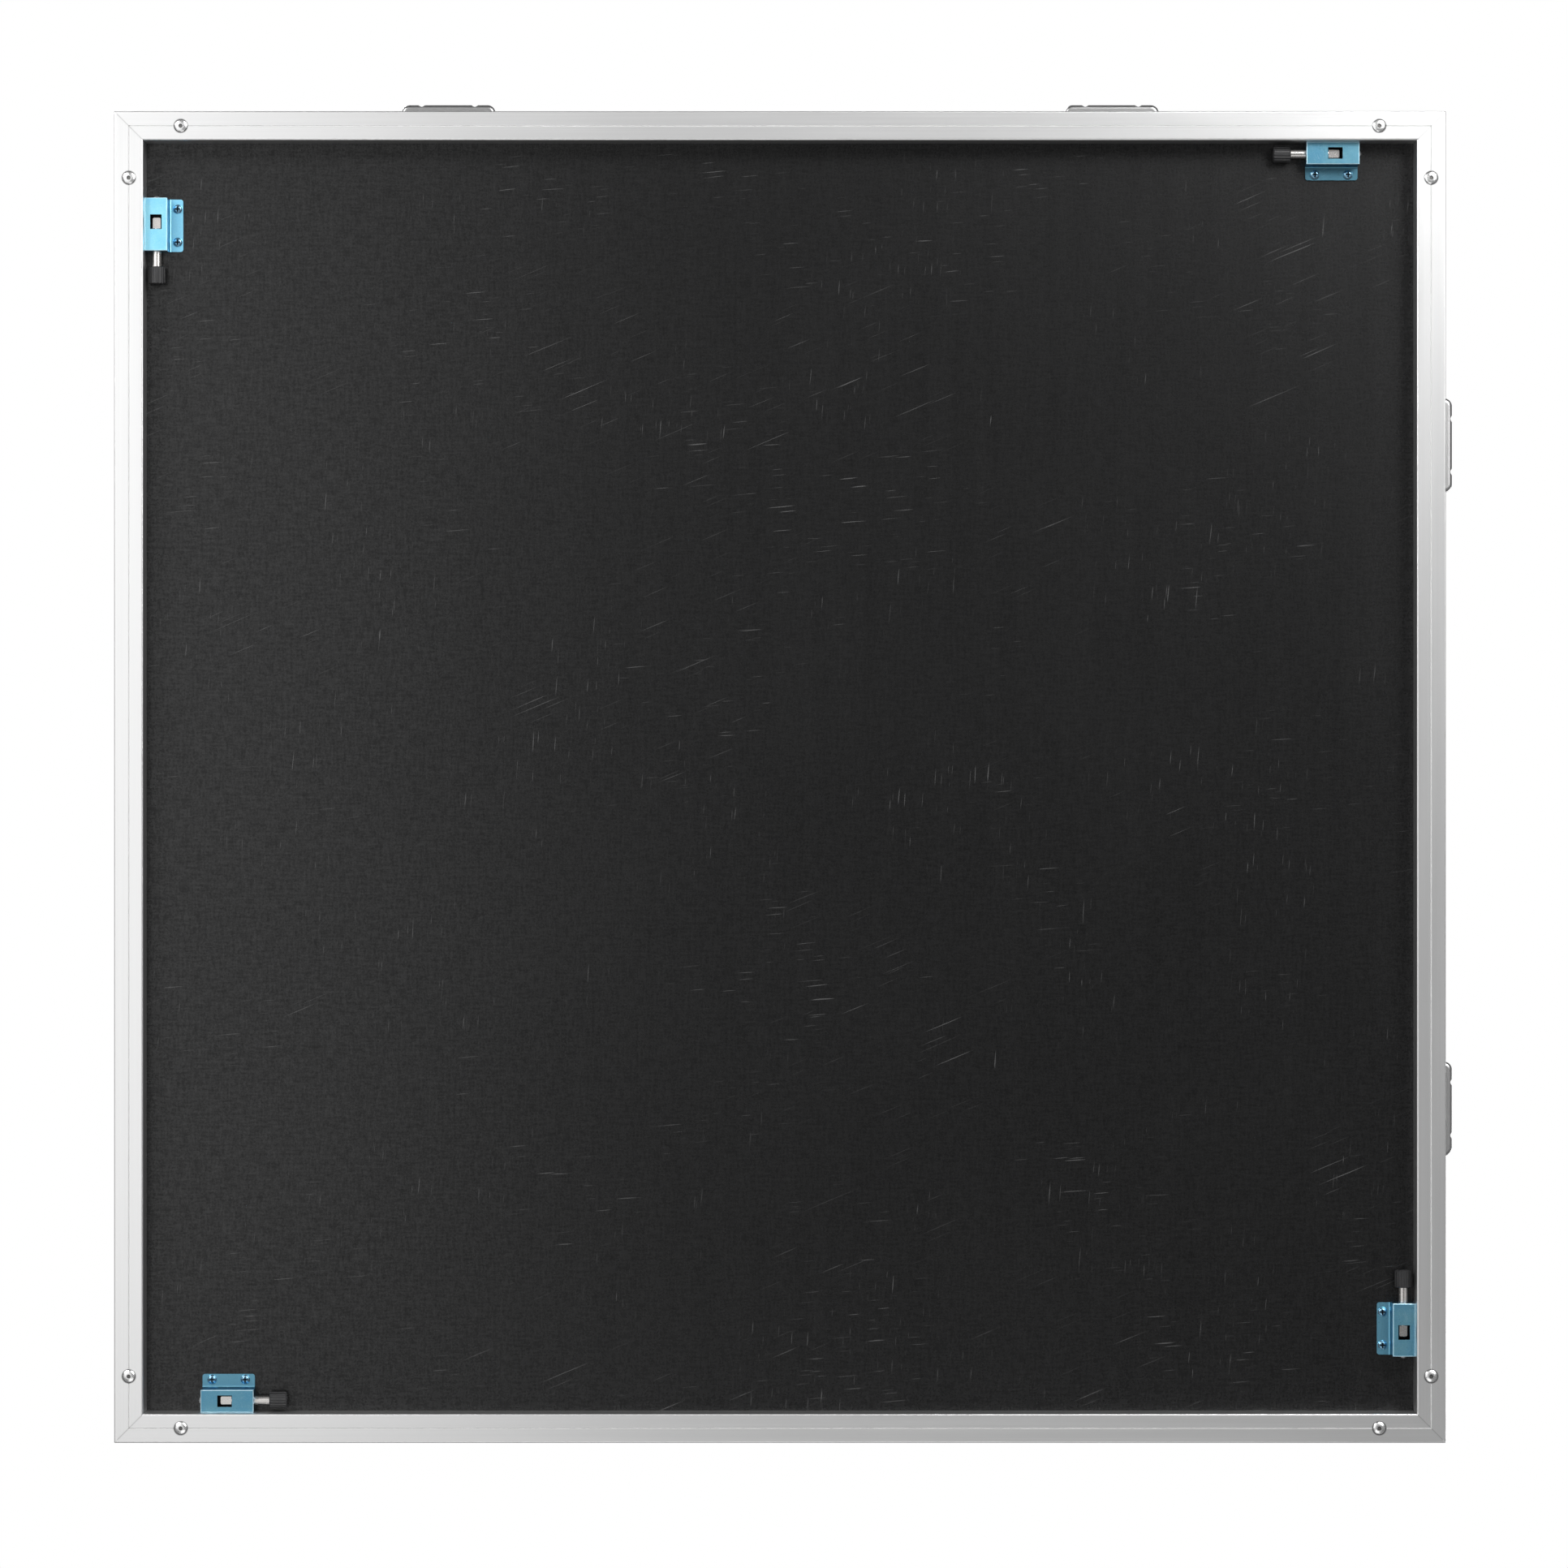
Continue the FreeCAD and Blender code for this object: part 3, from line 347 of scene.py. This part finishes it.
def turned_steel(name, tone, roughness, tint=(1.0, 0.985, 0.96), dulling=0.5):
    """Bright turned or plated steel with fine tool marks, a slight tint and a dull film in places."""
    g = Graph(name)
    marks = g.noise(g.mapped((1800, 1800, 1800)), detail=2.0, roughness=0.65)
    film = g.noise(g.mapped((160, 160, 160)), detail=2.0)
    bright = (tone * tint[0], tone * tint[1], tone * tint[2], 1)
    dull = (tone * tint[0] * 0.84, tone * tint[1] * 0.84, tone * tint[2] * 0.85, 1)
    g.set(
        Base_Color=g.mix(g.spread(film, 0.45, 0.75, 0.0, dulling), bright, dull),
        Metallic=1.0,
        Roughness=g.spread(marks, 0.3, 0.7, roughness - 0.03, roughness + 0.04),
        Normal=g.bump(marks, 0.000006, 0.3),
    )
    return g.material


def set_rivet():
    """Bright rivet head, with painted shade at its rim and inside its bore."""
    g = Graph("rivet_aluminium")
    distance = g.from_rivet()
    marks = g.noise(g.mapped((1800, 1800, 1800)), detail=2.0)
    # painted shade at the rim of the head and inside its bore
    rim = g.spread(distance, RIVET_RADIUS - 0.0007, RIVET_RADIUS - 0.0001, 0.0, 0.85)
    bore = g.spread(distance, 0.0017, 0.0014, 0.0, 0.9)
    g.set(
        Base_Color=g.mix(g.math("MAXIMUM", rim, bore), grey(0.88), grey(0.06)),
        Metallic=1.0,
        Roughness=g.spread(marks, 0.3, 0.7, 0.24, 0.30),
        Normal=g.bump(marks, 0.000008, 0.3),
    )
    return g.material


def latch_screw():
    """Blue zinc screw head with painted shade in its cross recess, and paler towards its rim."""
    g = Graph("blue_zinc")
    x, y, z = g.axes()
    across = g.math("SUBTRACT", g.math("MAXIMUM", x, y), SCREW_LINE)
    along = g.math("SUBTRACT", g.math("MINIMUM", x, y), SCREW_MIDDLE)
    along = g.math("SUBTRACT", g.math("ABSOLUTE", along), SCREW_HALF_SPACING)
    distance = g.length(across, along)
    arms = g.math("MINIMUM", g.math("ABSOLUTE", across), g.math("ABSOLUTE", along))
    # painted shade: the cross recess is darkened
    slot = g.math(
        "MULTIPLY",
        g.spread(arms, RECESS_HALF_WIDTH + 0.00007, RECESS_HALF_WIDTH - 0.00007),
        g.spread(distance, RECESS_REACH + 0.00015, RECESS_REACH - 0.00015),
    )
    marks = g.noise(g.mapped((1800, 1800, 1800)), detail=2.0, roughness=0.65)
    # paler towards the rim of the head
    paler_rim = g.spread(distance, 0.0027, 0.0033, 0.0, 0.7)
    blue = g.mix(paler_rim, (0.22, 0.42, 0.58, 1), (0.62, 0.80, 0.92, 1))
    g.set(
        Base_Color=g.mix(slot, blue, (0.012, 0.016, 0.022, 1)),
        Metallic=1.0,
        Roughness=g.math("ADD", g.spread(marks, 0.3, 0.7, 0.24, 0.32), g.math("MULTIPLY", slot, 0.4)),
        Normal=g.bump(marks, 0.00001, 0.3),
    )
    return g.material


def moulded_plastic():
    """Black moulded plastic with a fine grain and rubbed high spots."""
    g = Graph("black_moulded_plastic")
    grain = g.noise(g.mapped((2600, 2600, 2600)), detail=2.0)
    rub = g.noise(g.mapped((180, 180, 180)), detail=3.0)
    g.set(
        Base_Color=g.mix(
            g.spread(rub, 0.5, 0.8, 0.0, 0.5), (0.011, 0.011, 0.012, 1), (0.035, 0.035, 0.036, 1)
        ),
        Roughness=g.spread(grain, 0.3, 0.7, 0.40, 0.52),
        Normal=g.bump(grain, 0.00004, 0.5),
    )
    return g.material


def birch_plywood():
    """Birch veneers, alternately light and dark up the board's edge, with a long grain."""
    g = Graph("birch_plywood")
    plies = g.add("ShaderNodeTexWave", wave_type="BANDS", bands_direction="Z", wave_profile="SIN")
    g.feed(plies.inputs["Vector"], g.mapped((1, 1, 110)))
    plies.inputs["Scale"].default_value = 1.0
    grain = g.noise(g.mapped((30, 900, 900)), detail=4.0)
    ply = g.mix(plies.outputs["Fac"], (0.34, 0.21, 0.11, 1), (0.62, 0.45, 0.28, 1))
    g.set(
        Base_Color=g.mix(g.spread(grain, 0.35, 0.7, 0.0, 0.4), ply, (0.22, 0.13, 0.07, 1)),
        Roughness=g.spread(grain, 0.3, 0.7, 0.6, 0.75),
        Normal=g.bump(grain, 0.00006, 0.5),
    )
    return g.material


def elastic_adhesive():
    """Black polyurethane adhesive."""
    g = Graph("elastic_adhesive")
    skin = g.noise(g.mapped((300, 300, 300)), detail=3.0)
    g.set(
        Base_Color=g.mix(skin, (0.010, 0.010, 0.010, 1), (0.022, 0.022, 0.023, 1)),
        Roughness=g.spread(skin, 0.3, 0.7, 0.45, 0.6),
        Normal=g.bump(skin, 0.0001, 0.5),
    )
    return g.material


# ---------------------------------------------------------------- finishes on the fixed nodes


def finish_node(node, material):
    """Puts a material on every slot of a fixed node."""
    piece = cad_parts[node]
    if not piece.material_slots:
        piece.data.materials.append(material)
    for slot in piece.material_slots:
        slot.material = material


def finish_nodes():
    """The finish of every fixed node, by what its name says it is."""
    rail_x = aluminium("rail_aluminium_x", "X", 0.90, 0.30)
    rail_y = aluminium("rail_aluminium_y", "Y", 0.90, 0.30)
    # painted light and shade: the front and back tongues get a darker tone than the left and right
    # ones, copies of one aluminium
    tongue_x = aluminium("tongue_aluminium_x", "X", 0.31, 0.36)
    tongue_y = aluminium("tongue_aluminium_y", "Y", 0.46, 0.36)
    rod = turned_steel("ground_steel", 0.70, 0.24, (1.0, 0.97, 0.94), dulling=0.12)
    zinc = turned_steel("bright_zinc", 0.80, 0.24, (0.97, 0.985, 1.0))
    dull = turned_steel("dull_steel", 0.32, 0.42)
    cast = turned_steel("cast_aluminium", 0.60, 0.46, (1.0, 1.0, 1.0))
    plastic = moulded_plastic()
    single = {
        "corner_rivets": set_rivet(),
        "rivet_mandrels": turned_steel("broken_steel", 0.14, 0.45),
        "panel_adhesive": elastic_adhesive(),
        "underside_film": underside_film(),
        "deck_panel": birch_plywood(),
        "top_film": top_film(),
        "tongue_screws": zinc,
        "latch_screws": latch_screw(),
    }
    by_ending = {
        "_cleat": cast,
        "_rod": rod,
        "_washer": zinc,
        "_clip": dull,
        "_spring": dull,
        "_knob": plastic,
        "_end_stud": zinc,
    }
    # each latch's housing is a lighter or darker copy of one steel: painted light and shade
    for side, housing_light_tones in HOUSING_PAINTED_LIGHT.items():
        single[side + "_latch_housing"] = passivated_steel("passivated_steel_" + side, *housing_light_tones)
    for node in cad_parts:
        along_x = node.startswith(("front_", "back_"))
        if node in single:
            finish_node(node, single[node])
        elif node.endswith("_rail"):
            finish_node(node, rail_x if along_x else rail_y)
        elif "_tongue_" in node:
            finish_node(node, tongue_x if along_x else tongue_y)
        else:
            ending = next(ending for ending in by_ending if node.endswith(ending))
            finish_node(node, by_ending[ending])


# ---------------------------------------------------------------- floor, light and camera


FLOOR_HALF = 9.0
FLOOR_FADE_START = 1.2
FLOOR_FADE_END = 5.5


def make_floor():
    """A pale floor under the deck, seen only from above, which fades to the white backdrop far out."""
    half = FLOOR_HALF
    mesh = bpy.data.meshes.new("studio_floor")
    mesh.from_pydata(
        [(-half, -half, 0), (half, -half, 0), (half, half, 0), (-half, half, 0)], [], [(0, 1, 2, 3)]
    )
    floor = bpy.data.objects.new("studio_floor", mesh)
    bpy.context.collection.objects.link(floor)
    g = Graph("pale_floor")
    soft = g.noise(g.mapped((1.5, 1.5, 1)), detail=3.0)
    x, y, _ = g.axes()
    away = g.spread(g.length(x, y), FLOOR_FADE_START, FLOOR_FADE_END)
    g.set(
        Base_Color=g.mix(away, g.mix(g.spread(soft, 0.3, 0.7), grey(0.80), grey(0.84)), grey(0.0)),
        Roughness=0.75,
        Specular_IOR_Level=0.0,
        Emission_Color=grey(1.0),
        Emission_Strength=away,
    )
    clear = g.add("ShaderNodeBsdfTransparent")
    side = g.add("ShaderNodeNewGeometry")
    either = g.add("ShaderNodeMixShader")
    g.feed(either.inputs[0], side.outputs["Backfacing"])
    g.feed(either.inputs[1], g.surface.outputs["BSDF"])
    g.feed(either.inputs[2], clear.outputs["BSDF"])
    output = next(node for node in g.tree.nodes if node.bl_idname == "ShaderNodeOutputMaterial")
    g.feed(output.inputs["Surface"], either.outputs["Shader"])
    mesh.materials.append(g.material)
    floor.visible_diffuse = False
    floor.visible_glossy = False
    floor.visible_shadow = False


BELOW_LIGHT = 0.22
SIDE_LIGHT = 0.20
BELOW_SLOPE = -0.95
SIDE_SLOPE = -0.35


def make_world():
    """White to the eye. As a light it is a soft grey, brighter straight below than at the sides."""
    world = bpy.data.worlds.new("studio")
    bpy.context.scene.world = world
    world.use_nodes = True
    tree = world.node_tree
    tree.nodes.clear()
    place = tree.nodes.new("ShaderNodeTexCoord")
    split = tree.nodes.new("ShaderNodeSeparateXYZ")
    slope = tree.nodes.new("ShaderNodeMapRange")
    seen = tree.nodes.new("ShaderNodeBackground")
    lit = tree.nodes.new("ShaderNodeBackground")
    path = tree.nodes.new("ShaderNodeLightPath")
    either = tree.nodes.new("ShaderNodeMixShader")
    output = tree.nodes.new("ShaderNodeOutputWorld")
    slope.interpolation_type = "SMOOTHSTEP"
    for name, value in (
        ("From Min", BELOW_SLOPE),
        ("From Max", SIDE_SLOPE),
        ("To Min", BELOW_LIGHT),
        ("To Max", SIDE_LIGHT),
    ):
        slope.inputs[name].default_value = value
    seen.inputs["Color"].default_value = grey(1.0)
    lit.inputs["Color"].default_value = grey(1.0)
    tree.links.new(place.outputs["Generated"], split.inputs["Vector"])
    tree.links.new(split.outputs["Z"], slope.inputs["Value"])
    tree.links.new(slope.outputs["Result"], lit.inputs["Strength"])
    tree.links.new(path.outputs["Is Camera Ray"], either.inputs[0])
    tree.links.new(lit.outputs["Background"], either.inputs[1])
    tree.links.new(seen.outputs["Background"], either.inputs[2])
    tree.links.new(either.outputs["Shader"], output.inputs["Surface"])


def area_light(name, place, target, size, power):
    """A soft square light aimed at a point."""
    data = bpy.data.lights.new(name, "AREA")
    data.shape = "SQUARE"
    data.size = size
    data.energy = power
    light = bpy.data.objects.new(name, data)
    bpy.context.collection.objects.link(light)
    light.location = place
    light.rotation_euler = (Vector(target) - Vector(place)).to_track_quat("-Z", "Y").to_euler()
    light.visible_camera = False


def make_lights():
    """Five soft lamps round the underside, stronger at the front and left, and two above the top."""
    area_light("low_left", (-1.1, 0.0, -2.0), (0, 0, 0), 1.7, 7.5)
    area_light("low_front_left", (-1.8, -1.4, -2.0), (0, 0, 0), 1.0, 57.0)
    area_light("low_front_right", (1.3, -1.6, -2.0), (0, 0, 0), 1.2, 69.6)
    area_light("low_right", (1.6, -0.8, -2.0), (0, 0, 0), 1.0, 10.1)
    area_light("low_back", (0.0, 1.6, -2.0), (0, 0, 0), 1.2, 6.2)
    area_light("high_key", (-2.2, -2.4, 3.2), (0, 0, 0), 2.4, 190)
    area_light("high_fill", (2.8, 1.8, 2.6), (0, 0, 0), 2.4, 70)


CAMERA_DISTANCE = 5.0
FRAME_WIDTH = 1.1774  # across the picture, in the plane of the rails' undersides
CAMERA_SHIFT = (0.003, 0.0052)  # right and towards the back, which puts the deck a little up and left


def make_camera():
    """Square on to the underside, from below, with the front rail at the top of the picture."""
    data = bpy.data.cameras.new("camera")
    data.sensor_width = 36.0
    data.lens = data.sensor_width * CAMERA_DISTANCE / FRAME_WIDTH
    data.clip_end = 60.0
    camera = bpy.data.objects.new("camera", data)
    bpy.context.collection.objects.link(camera)
    right, up, back = Vector((1, 0, 0)), Vector((0, -1, 0)), Vector((0, 0, -1))
    turn = Matrix((right, up, back)).transposed().to_4x4()
    camera.matrix_world = Matrix.Translation(
        (CAMERA_SHIFT[0], CAMERA_SHIFT[1], RAIL_FLOOR - CAMERA_DISTANCE)
    ) @ turn
    bpy.context.scene.camera = camera


# ---------------------------------------------------------------- making

make_camera()
finish_nodes()
make_floor()
make_world()
make_lights()
bpy.context.scene.view_settings.view_transform = "Standard"
